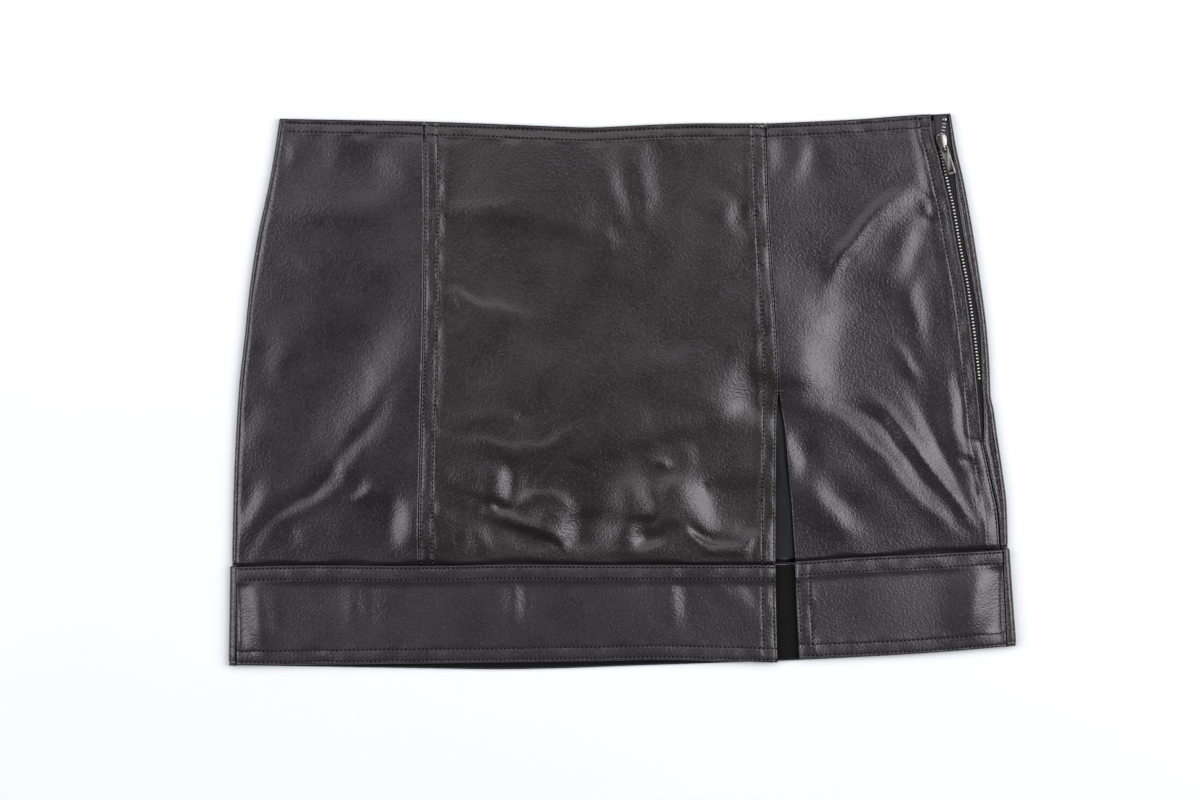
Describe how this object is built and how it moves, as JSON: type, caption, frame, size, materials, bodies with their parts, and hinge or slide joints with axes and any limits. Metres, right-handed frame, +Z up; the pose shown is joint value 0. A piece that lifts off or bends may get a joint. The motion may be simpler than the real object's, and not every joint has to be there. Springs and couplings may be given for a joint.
{
  "type": "leather mini skirt",
  "caption": "Leather mini skirt laid flat, front up, with panelled front, wide lapped hem band, slit at one seam and a side zip with slider and hinged pull tab.",
  "frame": {"origin": "middle of the laid-out outline, on the surface that the skirt lies on", "axes": "+X towards the wearer's left side as laid, along the hem; +Y towards the waist; +Z up out of the front"},
  "size_m": [0.4576, 0.3226, 0.0089],
  "materials": {
    "leather": "smooth fine-grained black leather with a soft satin sheen",
    "lining": "smooth black satin lining with a soft sheen",
    "zip_tape": "matt black woven zip tape",
    "zip_metal": "antique silver metal, darkened in the hollows"
  },
  "bodies": {
    "skirt": {"back_panel": "leather", "back_lining": "lining", "front_left_panel": "leather", "front_centre_panel": "leather", "front_right_panel": "leather", "back_band": "leather", "front_long_band": "leather", "front_short_band": "leather", "zip_tape_front": "zip_tape", "zip_tape_back": "zip_tape", "zip_chain": "zip_metal", "zip_slider": "zip_metal"},
    "pull_tab": {"zip_pull_tab": "zip_metal"}
  },
  "joints": [
    {"name": "pull_tab_lift", "type": "hinge", "parent": "skirt", "child": "pull_tab", "pos_m": [0.18582, 0.14195, 0.0065], "axis": [-0.9537, -0.3007, 0], "range_deg": [0, 120]}
  ]
}
